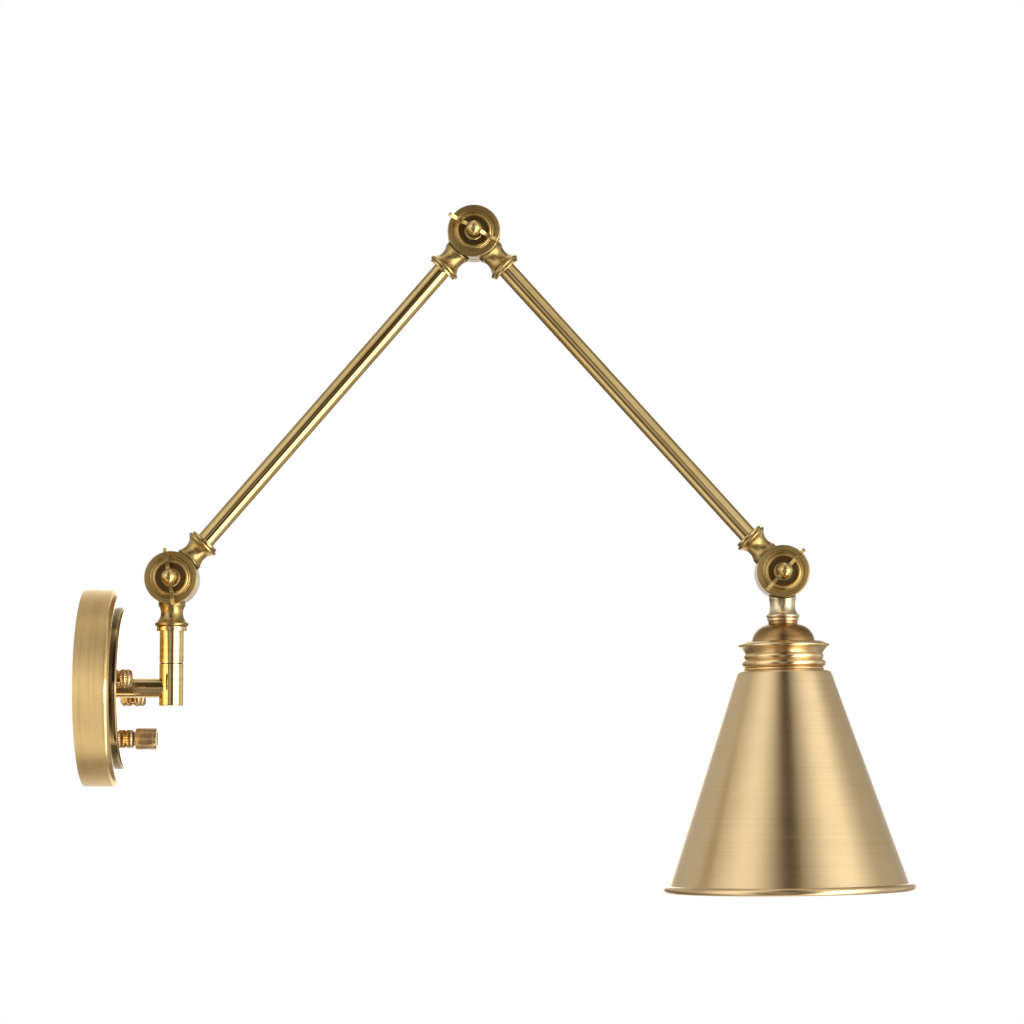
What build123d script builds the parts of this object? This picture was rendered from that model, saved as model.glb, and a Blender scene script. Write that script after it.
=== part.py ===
from build123d import *
import os
from math import cos, radians, sin, tan

# Articulating wall lamp with two arms, three friction knuckles, a swivel base and a metal shade.
#
# Millimetres. X points straight out of the wall, Z up. The origin is the middle of the wall side.
# Every arm lies in the plane Y = 0. The wing screws stand on the -Y side.
# An angle in that plane is measured from straight out of the wall, upwards positive.

os.makedirs("parts", exist_ok=True)

# ---------------------------------------------------------------- fits

fit_gap = 0.02        # radial, between a thread or spigot and its hole in the same body
running_gap = 0.05    # radial, between a turning shaft and its hole
face_gap = 0.1        # between two faces that turn against each other
swing_gap = 0.5       # between a knuckle disc and the neck that swings round it

# ---------------------------------------------------------------- pose

stem_reach = 52.0     # wall to swivel axis
lower_pivot_z = 67.0
lower_arm_length = 282.5
upper_arm_length = 282.5
lower_arm_angle = 49.25
upper_arm_angle = -47.95
head_angle = -89.15   # the shade hangs almost plumb

# ---------------------------------------------------------------- canopy and wall bracket

canopy_r = 60.0
canopy_drum_depth = 21.0
canopy_corner_r = 3.0
plateau_r = 49.6
plateau_rise = 3.6
plateau_corner_r = 1.2
canopy_sheet = 1.0

bar_length = 104.0
bar_width = 22.0
bar_thickness = 2.0
bar_corner_r = 4.0
box_screw_spacing = 88.9
box_slot_length = 11.0
box_slot_width = 4.8

stud_circle_r = 35.0
stud_turn = 8.0       # the pair of studs is turned this far from level
stud_r = 2.0
stud_head_r = 3.7
stud_head_slope = 45.0
stud_hole_gap = 0.3
stud_grip = 6.0       # length of stud inside its nut

cap_nut_r = 5.5
cap_nut_length = 8.2
cap_nut_round = 2.4
cap_nut_foot_r = 4.7
cap_nut_foot = 1.0

ground_screw_y = 14.0
ground_screw_r = 2.0
ground_head_r = 4.2
ground_head_height = 2.6
ground_slot_width = 1.0
ground_slot_depth = 1.2

# ---------------------------------------------------------------- stem and swivel

nipple_r = 5.0
nipple_bore_r = 3.8
nipple_in_canopy = 9.0
nipples_gap = 1.0     # between the two nipples inside the stem
nipple_nut_flats = 14.0
nipple_nut_height = 3.0
lock_washer_r = 8.5
lock_washer_thickness = 0.8

stem_r = 6.0
pivot_nipple_r = 4.0
pivot_nipple_bore_r = 2.8
pivot_nipple_in_stem = 8.0
socket_r = 7.4
socket_below = 11.0   # below the stem's centre line
socket_above = 14.5   # above it
socket_edge_r = 0.7
socket_chamber_r = 5.4
socket_chamber_top = 6.0
plug_height = 3.0
plug_slot_width = 1.2
plug_slot_depth = 1.0

swivel_pin_r = 4.0
swivel_pin_bore_r = 2.6
swivel_pin_tail = 2.6     # below the chamber's top
swivel_pin_grip = 9.0     # length inside the post
clip_thickness = 0.9
clip_r = 5.1
clip_groove_r = 3.4
clip_drop = 0.3           # under the chamber's top
clip_mouth = 4.4
swivel_washer_r = 6.9
swivel_washer_thickness = 0.5

# ---------------------------------------------------------------- switch

switch_drop = 31.0    # below the stem's centre line
switch_width = 20.0
switch_depth = 13.0
switch_corner_r = 2.0
bushing_r = 4.5
bushing_length = 5.0
switch_nut_r = 5.8
switch_nut_round = 0.7
switch_shaft_r = 3.0
switch_shaft_inside = 4.0
knob_gap = 1.0        # between the nut and the knob
knob_r = 6.4
knob_length = 13.0
knob_round = 1.0
knob_bore_depth = 9.0
knob_dish_r = 4.6
knob_dish_depth = 1.2

# ---------------------------------------------------------------- knuckles

knuckle_r = 16.2
knuckle_edge_r = 0.8
friction_washer_r = 15.8
friction_washer_thickness = 0.8
rim_height = 10.0     # middle plane to the flat rim of the ring face
rim_inner_r = 13.0
cove_depth = 0.9
ring_outer_r = 10.8
ring_rise = 0.5
ring_inner_r = 9.1
well_height = 7.4     # middle plane to the floor of the well inside the ring
boss_r = 5.9
boss_height = 9.2
chamber_inner_r = 5.6
chamber_outer_r = 12.2
chamber_height = 6.0
wire_way_r = 3.4
blind_wall = 1.4      # left over the end of the tapped hole

neck_root_r = 8.3
neck_waist_at = 21.0
neck_waist_r = 6.85
head_waist_r = 7.75
neck_end = 29.3       # distance from the pivot
head_neck_end = 28.2
neck_end_r = 9.5
neck_ring_back = 1.2  # from the neck's end
neck_ring_r = 10.35
flare_back = 2.4
flare_r = 9.6
seat_from = 24.5
collar_r = 9.3
collar_length = 1.8
stem_collar_length = 3.3
head_collar_r = 9.8
head_collar_length = 1.8
collar_round = 0.6

arm_r = 5.6
arm_wall = 1.0

cup_washer_r = 5.7
cup_washer_thickness = 1.0
cup_washer_bevel = 0.4
screw_r = 2.5
screw_tip_gap = 0.4
hub_r = 4.7
hub_barrel = 7.5      # the dome on top is half a ball
wing_thickness = 2.2
wing_foot = 1.2       # all wing heights are above the hub's base
wing_low_at = 16.2
wing_low = 5.7
wing_reach = 17.5
wing_tip = 8.2
wing_high_at = 16.0
wing_high = 11.2
wing_saddle_at = 9.5
wing_saddle = 8.6
wing_root = 10.2
lower_wing_angle = 98.9
middle_wing_angle = 151.3
end_wing_angle = 47.2

# ---------------------------------------------------------------- head

head_nipple_r = 5.0
head_nipple_bore_r = 3.6
head_nipple_from = 20.5

dome_lip_r = 9.0
dome_lip = 1.8
dome_shoulder_at = 5.2
dome_shoulder_r = 15.9
dome_height = 13.0
dome_r = 19.3
dome_wall = 1.2

fitter_top_r = 26.0
fitter_crown_at = 2.1
fitter_crown_r = 28.3
fitter_crown_round = 0.9
fitter_crown_edge = 0.5   # the crown's nose stands this far out of its two slopes
fitter_flank_hollow = 0.4
fitter_waist_at = 7.1
fitter_waist_r = 24.0
fitter_bead_rise = 0.7
fitter_groove_at = 10.6
fitter_low_bead_rise = 1.9
fitter_foot_at = 15.6
fitter_foot_rise = 0.8
fitter_height = 17.5
fitter_wall = 1.2

shade_top_r = 28.6        # at the sharp corner before rounding
shade_shoulder_r = 2.6
shade_slope = 18.9        # half angle of the cone
shade_height = 132.1      # flat top to the middle of the rolled rim
shade_sheet = 1.0
rim_bead_r = 2.3
rim_bead_out = 1.2        # middle of the bead outside the cone's skin
shade_hole_gap = 0.3

holder_r = 20.6
holder_thread_r = 18.4
holder_length = 49.0
holder_floor = 4.0
holder_upper_bore_r = 12.0
holder_bore_r = 14.4
holder_nut_flats = 14.0
holder_nut_height = 3.0
nipple_end_gap = 0.5
carrier_at = 10.0
carrier_thickness = 4.0
carrier_hole_r = 2.2
carrier_hole_out = 9.0
shell_r = 13.3
shell_wall = 0.5
shell_length = 27.0
shell_foot_r = 11.0       # the narrower foot leaves room for the contact
shell_foot = 5.0
shell_hole_r = 6.5
contact_width = 5.0
contact_foot = 5.0
contact_bend = 2.0
contact_top = 3.6
contact_thickness = 0.6
contact_lift = 3.4
shade_ring_r = 23.6
shade_ring_flange = 1.4
shade_ring_barrel_r = 21.0
shade_ring_height = 5.0

# ---------------------------------------------------------------- places worked out from the sizes


def direction(angle):
    """Unit vector in the lamp's plane."""
    return Vector(cos(radians(angle)), 0, sin(radians(angle)))


lower_pivot = Vector(stem_reach, 0, lower_pivot_z)
middle_pivot = lower_pivot + direction(lower_arm_angle) * lower_arm_length
end_pivot = middle_pivot + direction(upper_arm_angle) * upper_arm_length

face_x = canopy_drum_depth + plateau_rise
plate_x = face_x - canopy_sheet
pivot_nipple_x = stem_reach - socket_r - pivot_nipple_in_stem
nipple_in_stem = pivot_nipple_x - nipples_gap - face_x
mating_height = friction_washer_thickness / 2 + face_gap
stem_collar_end = neck_end + stem_collar_length
head_collar_end = head_neck_end + head_collar_length
hub_base = boss_height + cup_washer_thickness + face_gap
screw_hole_end = boss_height - blind_wall
stud_places = [
    (stud_circle_r * cos(radians(turn)), stud_circle_r * sin(radians(turn)))
    for turn in (180 - stud_turn, -stud_turn)
]

toward_viewer = Vector(0, -1, 0)
away = Vector(0, 1, 0)


def finish(piece, label):
    """Name a finished piece and write its file."""
    piece.part.label = label
    export_step(piece.part, f"parts/{label}.step")


def turning_section(pivot, angle):
    """Half section of a piece turned about an arm: X runs along the arm, Y is the radius."""
    return Plane(origin=pivot, x_dir=direction(angle), z_dir=toward_viewer)


def square_to(pivot, angle, distance):
    """Plane square to an arm, this far along it."""
    return Plane(origin=pivot + direction(angle) * distance, z_dir=direction(angle))


def pin_section(pivot, angle, facing):
    """Half section of a piece turned about a knuckle's pin: X is the radius, Y the height."""
    radius = direction(angle)
    return Plane(origin=pivot, x_dir=radius, z_dir=radius.cross(facing))


# ---------------------------------------------------------------- wall bracket and its screws

with BuildPart() as wall_bracket:
    with BuildSketch(Plane.YZ):
        RectangleRounded(bar_length, bar_width, bar_corner_r)
        with GridLocations(box_screw_spacing, 0, 2, 1):
            SlotOverall(box_slot_length, box_slot_width, mode=Mode.SUBTRACT)
        with Locations(*stud_places):
            Circle(stud_r + fit_gap, mode=Mode.SUBTRACT)
        with Locations((ground_screw_y, 0)):
            Circle(ground_screw_r + fit_gap, mode=Mode.SUBTRACT)
    extrude(amount=bar_thickness)
    with BuildSketch(Plane.YZ):
        with Locations(*stud_places):
            Circle(stud_head_r + fit_gap)
    extrude(amount=stud_head_r - stud_r, taper=stud_head_slope, mode=Mode.SUBTRACT)
finish(wall_bracket, "wall_bracket")

with BuildPart() as bracket_studs:
    with BuildSketch(Plane.YZ):
        with Locations(*stud_places):
            Circle(stud_head_r)
    extrude(amount=stud_head_r - stud_r, taper=stud_head_slope)
    with BuildSketch(Plane.YZ):
        with Locations(*stud_places):
            Circle(stud_r)
    extrude(amount=face_x + stud_grip)
finish(bracket_studs, "bracket_studs")

with BuildPart() as ground_screw:
    with BuildSketch(Plane.YZ):
        with Locations((ground_screw_y, 0)):
            Circle(ground_screw_r)
    extrude(amount=bar_thickness)
    with BuildSketch(Plane.YZ.offset(bar_thickness)):
        with Locations((ground_screw_y, 0)):
            Circle(ground_head_r)
    extrude(amount=ground_head_height)
    with BuildSketch(Plane.YZ.offset(bar_thickness + ground_head_height)):
        with Locations((ground_screw_y, 0)):
            Rectangle(ground_head_r * 2, ground_slot_width)
    extrude(amount=-ground_slot_depth, mode=Mode.SUBTRACT)
finish(ground_screw, "ground_screw")

# ---------------------------------------------------------------- canopy


def canopy_outline(inset):
    """Half section of the pressed canopy, drawn inset from its outer skin."""
    top = canopy_r - inset
    corner = canopy_corner_r - inset
    front = canopy_drum_depth - inset
    step_r = plateau_r - inset
    face = face_x - inset
    with BuildLine() as outline:
        Polyline((0, 0), (0, top), (front - corner, top))
        RadiusArc((front - corner, top), (front, top - corner), corner)
        Polyline((front, top - corner), (front, step_r), (face - plateau_corner_r, step_r))
        RadiusArc(
            (face - plateau_corner_r, step_r),
            (face, step_r - plateau_corner_r),
            plateau_corner_r,
        )
        Polyline((face, step_r - plateau_corner_r), (face, 0), (0, 0))
    return outline.edges()


with BuildPart() as canopy:
    with BuildSketch(Plane.XZ):
        make_face(canopy_outline(0))
    revolve(axis=Axis.X)
    with BuildSketch(Plane.XZ):
        make_face(canopy_outline(canopy_sheet))
    revolve(axis=Axis.X, mode=Mode.SUBTRACT)
    with BuildSketch(Plane.YZ.offset(plate_x)):
        Circle(nipple_r + fit_gap)
        with Locations(*stud_places):
            Circle(stud_r + stud_hole_gap)
        with Locations((0, -switch_drop)):
            Circle(bushing_r + fit_gap)
    extrude(amount=canopy_sheet, mode=Mode.SUBTRACT)
finish(canopy, "canopy")

with BuildPart() as canopy_nuts:
    with BuildSketch(Plane.YZ.offset(face_x)):
        with Locations(*stud_places):
            Circle(cap_nut_foot_r)
    extrude(amount=cap_nut_foot)
    with BuildSketch(Plane.YZ.offset(face_x + cap_nut_foot)):
        with Locations(*stud_places):
            Circle(cap_nut_r)
    extrude(amount=cap_nut_length - cap_nut_foot)
    fillet(canopy_nuts.faces().sort_by(Axis.X)[-2:].edges(), cap_nut_round)
    with BuildSketch(Plane.YZ.offset(face_x)):
        with Locations(*stud_places):
            Circle(stud_r + fit_gap)
    extrude(amount=stud_grip + fit_gap, mode=Mode.SUBTRACT)
finish(canopy_nuts, "canopy_nuts")

with BuildPart() as canopy_nipple:
    with BuildSketch(Plane.YZ.offset(plate_x - nipple_in_canopy)):
        Circle(nipple_r)
        Circle(nipple_bore_r, mode=Mode.SUBTRACT)
    extrude(amount=nipple_in_canopy + canopy_sheet + nipple_in_stem)
finish(canopy_nipple, "canopy_nipple")

with BuildPart() as nipple_washer:
    with BuildSketch(Plane.YZ.offset(plate_x)):
        Circle(lock_washer_r)
        Circle(nipple_r + fit_gap, mode=Mode.SUBTRACT)
    extrude(amount=-lock_washer_thickness)
finish(nipple_washer, "nipple_washer")

with BuildPart() as nipple_nut:
    with BuildSketch(Plane.YZ.offset(plate_x - lock_washer_thickness)):
        RegularPolygon(nipple_nut_flats / 2, 6, major_radius=False)
        Circle(nipple_r + fit_gap, mode=Mode.SUBTRACT)
    extrude(amount=-nipple_nut_height)
finish(nipple_nut, "nipple_nut")

# ---------------------------------------------------------------- horizontal stem and swivel base

with BuildPart() as wall_stem:
    with BuildSketch(Plane.YZ.offset(face_x)):
        Circle(stem_r)
        Circle(pivot_nipple_r + fit_gap, mode=Mode.SUBTRACT)
    extrude(amount=stem_reach - face_x)
    with BuildSketch(Plane.YZ.offset(face_x)):
        Circle(nipple_r + fit_gap)
    extrude(amount=nipple_in_stem + fit_gap, mode=Mode.SUBTRACT)
    with BuildSketch(Plane.XY.offset(-stem_r)):
        with Locations((stem_reach, 0)):
            Circle(socket_r + fit_gap)
    extrude(amount=stem_r * 2, mode=Mode.SUBTRACT)
finish(wall_stem, "wall_stem")

with BuildPart() as pivot_nipple:
    with BuildSketch(Plane.YZ.offset(pivot_nipple_x)):
        Circle(pivot_nipple_r)
        Circle(pivot_nipple_bore_r, mode=Mode.SUBTRACT)
    extrude(amount=pivot_nipple_in_stem + socket_r)
    with BuildSketch(Plane.XY.offset(-socket_below)):
        with Locations((stem_reach, 0)):
            Circle(socket_chamber_r)
    extrude(amount=socket_below + socket_above, mode=Mode.SUBTRACT)
finish(pivot_nipple, "pivot_nipple")

with BuildPart() as pivot_socket:
    with BuildSketch(Plane.XY.offset(-socket_below)):
        with Locations((stem_reach, 0)):
            Circle(socket_r)
    extrude(amount=socket_below + socket_above)
    fillet(pivot_socket.edges().group_by(Axis.Z)[0], socket_edge_r)
    with BuildSketch(Plane.XY.offset(-socket_below)):
        with Locations((stem_reach, 0)):
            Circle(socket_chamber_r)
    extrude(amount=socket_below + socket_chamber_top, mode=Mode.SUBTRACT)
    with BuildSketch(Plane.XY.offset(socket_chamber_top)):
        with Locations((stem_reach, 0)):
            Circle(swivel_pin_r + running_gap)
    extrude(amount=socket_above - socket_chamber_top, mode=Mode.SUBTRACT)
    with BuildSketch(Plane.YZ.offset(stem_reach - socket_r)):
        Circle(pivot_nipple_r + fit_gap)
    extrude(amount=socket_r, mode=Mode.SUBTRACT)
finish(pivot_socket, "pivot_socket")

with BuildPart() as pivot_plug:
    with BuildSketch(Plane.XY.offset(-socket_below)):
        with Locations((stem_reach, 0)):
            Circle(socket_chamber_r - fit_gap)
    extrude(amount=plug_height)
    with BuildSketch(Plane.XY.offset(-socket_below)):
        with Locations((stem_reach, 0)):
            Rectangle(socket_chamber_r * 2, plug_slot_width)
    extrude(amount=plug_slot_depth, mode=Mode.SUBTRACT)
finish(pivot_plug, "pivot_plug")

with BuildPart() as swivel_washer:
    with BuildSketch(Plane.XY.offset(socket_above)):
        with Locations((stem_reach, 0)):
            Circle(swivel_washer_r)
            Circle(swivel_pin_r + running_gap, mode=Mode.SUBTRACT)
    extrude(amount=swivel_washer_thickness)
finish(swivel_washer, "swivel_washer")

# ---------------------------------------------------------------- switch and knob

switch_face = face_x + bushing_length
knob_start = switch_face + knob_gap

with BuildPart() as switch_body:
    with BuildSketch(Plane.YZ.offset(plate_x)):
        with Locations((0, -switch_drop)):
            RectangleRounded(switch_width, switch_width, switch_corner_r)
    extrude(amount=-switch_depth)
    with BuildSketch(Plane.YZ.offset(plate_x)):
        with Locations((0, -switch_drop)):
            Circle(bushing_r)
    extrude(amount=canopy_sheet + bushing_length)
    with BuildSketch(Plane.YZ.offset(switch_face)):
        with Locations((0, -switch_drop)):
            Circle(switch_shaft_r + running_gap)
    extrude(
        amount=-(bushing_length + canopy_sheet + switch_shaft_inside + face_gap),
        mode=Mode.SUBTRACT,
    )
finish(switch_body, "switch_body")

with BuildPart() as switch_nut:
    with BuildSketch(Plane.YZ.offset(face_x)):
        with Locations((0, -switch_drop)):
            Circle(switch_nut_r)
            Circle(bushing_r + fit_gap, mode=Mode.SUBTRACT)
    extrude(amount=bushing_length)
    fillet(switch_nut.edges().filter_by(GeomType.CIRCLE).sort_by(SortBy.RADIUS)[-2:], switch_nut_round)
finish(switch_nut, "switch_nut")

with BuildPart() as switch_shaft:
    with BuildSketch(Plane.YZ.offset(plate_x - switch_shaft_inside)):
        with Locations((0, -switch_drop)):
            Circle(switch_shaft_r)
    extrude(amount=knob_start + knob_bore_depth - plate_x + switch_shaft_inside)
finish(switch_shaft, "switch_shaft")

with BuildPart() as switch_knob:
    with BuildSketch(Plane.YZ.offset(knob_start)):
        with Locations((0, -switch_drop)):
            Circle(knob_r)
    extrude(amount=knob_length)
    fillet(switch_knob.edges(), knob_round)
    with BuildSketch(Plane.YZ.offset(knob_start)):
        with Locations((0, -switch_drop)):
            Circle(switch_shaft_r + fit_gap)
    extrude(amount=knob_bore_depth + fit_gap, mode=Mode.SUBTRACT)
    with BuildSketch(Plane.YZ.offset(knob_start + knob_length)):
        with Locations((0, -switch_drop)):
            Circle(knob_dish_r)
    extrude(amount=-knob_dish_depth, mode=Mode.SUBTRACT)
finish(switch_knob, "switch_knob")

# ---------------------------------------------------------------- turret: pin, clip and post

pin_bottom = socket_chamber_top - swivel_pin_tail
post_bottom = socket_above + swivel_washer_thickness + face_gap
post_top = lower_pivot_z - stem_collar_end

with BuildPart() as swivel_pin:
    with BuildSketch(Plane.XY.offset(pin_bottom)):
        with Locations((stem_reach, 0)):
            Circle(swivel_pin_r)
            Circle(swivel_pin_bore_r, mode=Mode.SUBTRACT)
    extrude(amount=post_bottom + swivel_pin_grip - pin_bottom)
    with BuildSketch(Plane.XY.offset(socket_chamber_top - clip_drop)):
        with Locations((stem_reach, 0)):
            Circle(swivel_pin_r)
            Circle(clip_groove_r, mode=Mode.SUBTRACT)
    extrude(amount=-clip_thickness, mode=Mode.SUBTRACT)
finish(swivel_pin, "swivel_pin")

with BuildPart() as retaining_clip:
    with BuildSketch(Plane.XY.offset(socket_chamber_top - clip_drop)):
        with Locations((stem_reach, 0)):
            Circle(clip_r)
            Circle(clip_groove_r + fit_gap, mode=Mode.SUBTRACT)
        with Locations((stem_reach + clip_r / 2, 0)):
            Rectangle(clip_r * 2, clip_mouth, align=(Align.MIN, Align.CENTER), mode=Mode.SUBTRACT)
    extrude(amount=-clip_thickness)
finish(retaining_clip, "retaining_clip")

with BuildPart() as swivel_post:
    with BuildSketch(Plane.XY.offset(post_bottom)):
        with Locations((stem_reach, 0)):
            Circle(socket_r)
    extrude(amount=post_top - post_bottom)
    with BuildSketch(Plane.XY.offset(post_top)):
        with Locations((stem_reach, 0)):
            Circle(arm_r)
    extrude(amount=stem_collar_end - seat_from)
    with BuildSketch(Plane.XY.offset(post_bottom)):
        with Locations((stem_reach, 0)):
            Circle(swivel_pin_bore_r)
    extrude(amount=lower_pivot_z - seat_from - post_bottom, mode=Mode.SUBTRACT)
    with BuildSketch(Plane.XY.offset(post_bottom)):
        with Locations((stem_reach, 0)):
            Circle(swivel_pin_r + fit_gap)
    extrude(amount=swivel_pin_grip + fit_gap, mode=Mode.SUBTRACT)
finish(swivel_post, "swivel_post")

# ---------------------------------------------------------------- knuckles


def neck_outline(waist_r, end):
    """Half section of a knuckle's flared neck, from inside the disc to its end."""
    root = knuckle_r + swing_gap
    flare_at = end - flare_back
    with BuildLine() as outline:
        Polyline((end, neck_end_r), (end, 0), (rim_inner_r, 0), (rim_inner_r, neck_root_r))
        Line((rim_inner_r, neck_root_r), (root, neck_root_r))
        TangentArc((neck_waist_at, waist_r), (root, neck_root_r), tangent=(-1, 0))
        TangentArc((neck_waist_at, waist_r), (flare_at, flare_r), tangent=(1, 0))
        ThreePointArc((flare_at, flare_r), (end - neck_ring_back, neck_ring_r), (end, neck_end_r))
    return outline.edges()


def ring_face_outline():
    """Half section of a knuckle disc: flat rim, cove, raised ring, well and boss."""
    ring_middle_r = (ring_outer_r + ring_inner_r) / 2
    cove_middle_r = (rim_inner_r + ring_outer_r) / 2
    with BuildLine() as outline:
        Polyline((0, boss_height), (0, mating_height), (knuckle_r, mating_height))
        Line((knuckle_r, mating_height), (knuckle_r, rim_height - knuckle_edge_r))
        RadiusArc(
            (knuckle_r, rim_height - knuckle_edge_r),
            (knuckle_r - knuckle_edge_r, rim_height),
            -knuckle_edge_r,
        )
        Line((knuckle_r - knuckle_edge_r, rim_height), (rim_inner_r, rim_height))
        ThreePointArc(
            (rim_inner_r, rim_height),
            (cove_middle_r, rim_height - cove_depth),
            (ring_outer_r, rim_height),
        )
        ThreePointArc(
            (ring_outer_r, rim_height),
            (ring_middle_r, rim_height + ring_rise),
            (ring_inner_r, rim_height),
        )
        Polyline(
            (ring_inner_r, rim_height),
            (ring_inner_r, well_height),
            (boss_r, well_height),
            (boss_r, boss_height),
            (0, boss_height),
        )
    return outline.edges()


def knuckle_half(label, pivot, angle, facing, tapped, waist_r, end, bore_r, bore_from):
    """One half of a knuckle: its disc, and the neck that holds the arm at this angle."""
    arm_axis = Axis(pivot, direction(angle))
    pin_axis = Axis(pivot, facing)
    mating_face = Plane(origin=pivot + facing * mating_height, x_dir=direction(angle), z_dir=facing)
    with BuildPart() as half:
        with BuildSketch(turning_section(pivot, angle)):
            make_face(neck_outline(waist_r, end))
        revolve(axis=arm_axis)
        with BuildSketch(mating_face):
            Circle(knuckle_r + swing_gap)
        extrude(amount=-(mating_height + neck_ring_r), mode=Mode.SUBTRACT)
        with BuildSketch(pin_section(pivot, angle, facing)):
            make_face(ring_face_outline())
        revolve(axis=pin_axis)
        with BuildSketch(mating_face):
            Circle(chamber_outer_r)
            Circle(chamber_inner_r, mode=Mode.SUBTRACT)
        extrude(amount=chamber_height - mating_height, mode=Mode.SUBTRACT)
        with BuildSketch(square_to(pivot, angle, ring_inner_r)):
            Circle(wire_way_r)
        extrude(amount=end - ring_inner_r, mode=Mode.SUBTRACT)
        with BuildSketch(square_to(pivot, angle, bore_from)):
            Circle(bore_r + fit_gap)
        extrude(amount=end - bore_from, mode=Mode.SUBTRACT)
        with BuildSketch(mating_face):
            Circle(screw_r + running_gap)
        hole_end = screw_hole_end if tapped else boss_height
        extrude(amount=hole_end - mating_height, mode=Mode.SUBTRACT)
    finish(half, label)


def collar(label, pivot, angle, start, length, outer_r, bore_r):
    """Thin ring between a neck and the tube, post or cap behind it."""
    with BuildPart() as ring:
        with BuildSketch(square_to(pivot, angle, start)):
            Circle(outer_r)
            Circle(bore_r + fit_gap, mode=Mode.SUBTRACT)
        extrude(amount=length)
        fillet(ring.edges().filter_by(GeomType.CIRCLE).sort_by(SortBy.RADIUS)[-2:], collar_round)
    finish(ring, label)


def arm_tube(label, pivot, angle, length):
    """Straight tube that reaches from one neck's seat to the other's."""
    with BuildPart() as tube:
        with BuildSketch(square_to(pivot, angle, seat_from)):
            Circle(arm_r)
            Circle(arm_r - arm_wall, mode=Mode.SUBTRACT)
        extrude(amount=length - seat_from * 2)
    finish(tube, label)


def friction_washer(label, pivot):
    """Thin fibre ring between the two halves of a knuckle."""
    with BuildPart() as washer:
        middle = Plane(origin=pivot, z_dir=toward_viewer).offset(-friction_washer_thickness / 2)
        with BuildSketch(middle):
            Circle(friction_washer_r)
            Circle(chamber_outer_r, mode=Mode.SUBTRACT)
        extrude(amount=friction_washer_thickness)
    finish(washer, label)


def cup_washer(label, pivot):
    """Bevelled washer under a wing screw's hub."""
    with BuildPart() as washer:
        with BuildSketch(Plane(origin=pivot, z_dir=toward_viewer).offset(boss_height)):
            Circle(cup_washer_r)
            Circle(screw_r + running_gap, mode=Mode.SUBTRACT)
        extrude(amount=cup_washer_thickness)
        chamfer(washer.edges().group_by(Axis.Y)[0].sort_by(SortBy.RADIUS)[-1], cup_washer_bevel)
    finish(washer, label)


def wing_screw(label, pivot, angle):
    """Wing screw that pinches a knuckle: shank, domed hub and two swept wings."""
    section = pin_section(pivot, angle, toward_viewer)
    dome_from = hub_base + hub_barrel
    screw_end = -(screw_hole_end - screw_tip_gap)
    with BuildPart() as screw:
        with BuildSketch(section):
            with BuildLine():
                Polyline((0, dome_from + hub_r), (0, screw_end), (screw_r, screw_end))
                Polyline((screw_r, screw_end), (screw_r, hub_base), (hub_r, hub_base), (hub_r, dome_from))
                CenterArc((0, dome_from), hub_r, 0, 90)
            make_face()
        revolve(axis=Axis(pivot, toward_viewer))
        with BuildSketch(section):
            with BuildLine():
                low = (wing_low_at, hub_base + wing_low)
                tip = (wing_reach, hub_base + wing_tip)
                high = (wing_high_at, hub_base + wing_high)
                saddle = (wing_saddle_at, hub_base + wing_saddle)
                root = (hub_r, hub_base + wing_root)
                foot = (hub_r, hub_base + wing_foot)
                Polyline(root, (0, hub_base + wing_root), (0, hub_base + wing_foot), foot, low)
                ThreePointArc(low, tip, high)
                ThreePointArc(high, saddle, root)
            make_face()
            mirror(about=Plane.YZ)
        extrude(amount=wing_thickness / 2, both=True)
    finish(screw, label)


arm_fit = (neck_waist_r, neck_end, arm_r, seat_from)
head_fit = (head_waist_r, head_neck_end, head_nipple_r, head_nipple_from)
foot = (lower_pivot, lower_arm_angle)
elbow_below = (middle_pivot, lower_arm_angle + 180)
elbow_above = (middle_pivot, upper_arm_angle)
wrist = (end_pivot, upper_arm_angle + 180)
knuckle_half("lower_knuckle_front", lower_pivot, -90, toward_viewer, False, *arm_fit)
knuckle_half("lower_knuckle_rear", *foot, away, True, *arm_fit)
knuckle_half("middle_knuckle_rear", *elbow_below, away, True, *arm_fit)
knuckle_half("middle_knuckle_front", *elbow_above, toward_viewer, False, *arm_fit)
knuckle_half("end_knuckle_front", *wrist, toward_viewer, False, *arm_fit)
knuckle_half("end_knuckle_rear", end_pivot, head_angle, away, True, *head_fit)

arm_ring = (neck_end, collar_length, collar_r, arm_r)
stem_ring = (neck_end, stem_collar_length, collar_r, arm_r)
head_ring = (head_neck_end, head_collar_length, head_collar_r, head_nipple_r)
collar("stem_collar", lower_pivot, -90, *stem_ring)
collar("lower_arm_foot_collar", *foot, *arm_ring)
collar("lower_arm_top_collar", *elbow_below, *arm_ring)
collar("upper_arm_top_collar", *elbow_above, *arm_ring)
collar("upper_arm_end_collar", *wrist, *arm_ring)
collar("head_collar", end_pivot, head_angle, *head_ring)

arm_tube("lower_arm_tube", lower_pivot, lower_arm_angle, lower_arm_length)
arm_tube("upper_arm_tube", middle_pivot, upper_arm_angle, upper_arm_length)

knuckles = [
    ("lower", lower_pivot, lower_wing_angle),
    ("middle", middle_pivot, middle_wing_angle),
    ("end", end_pivot, end_wing_angle),
]
for knuckle, pivot, wing_angle in knuckles:
    friction_washer(f"{knuckle}_friction_washer", pivot)
    cup_washer(f"{knuckle}_cup_washer", pivot)
    wing_screw(f"{knuckle}_wing_screw", pivot, wing_angle)

# ---------------------------------------------------------------- head: cap, fitter and shade

head_axis = Axis(end_pivot, direction(head_angle))
head_section = turning_section(end_pivot, head_angle)
dome_top = head_collar_end
fitter_top = dome_top + dome_height
shade_top = fitter_top + fitter_height


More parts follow.
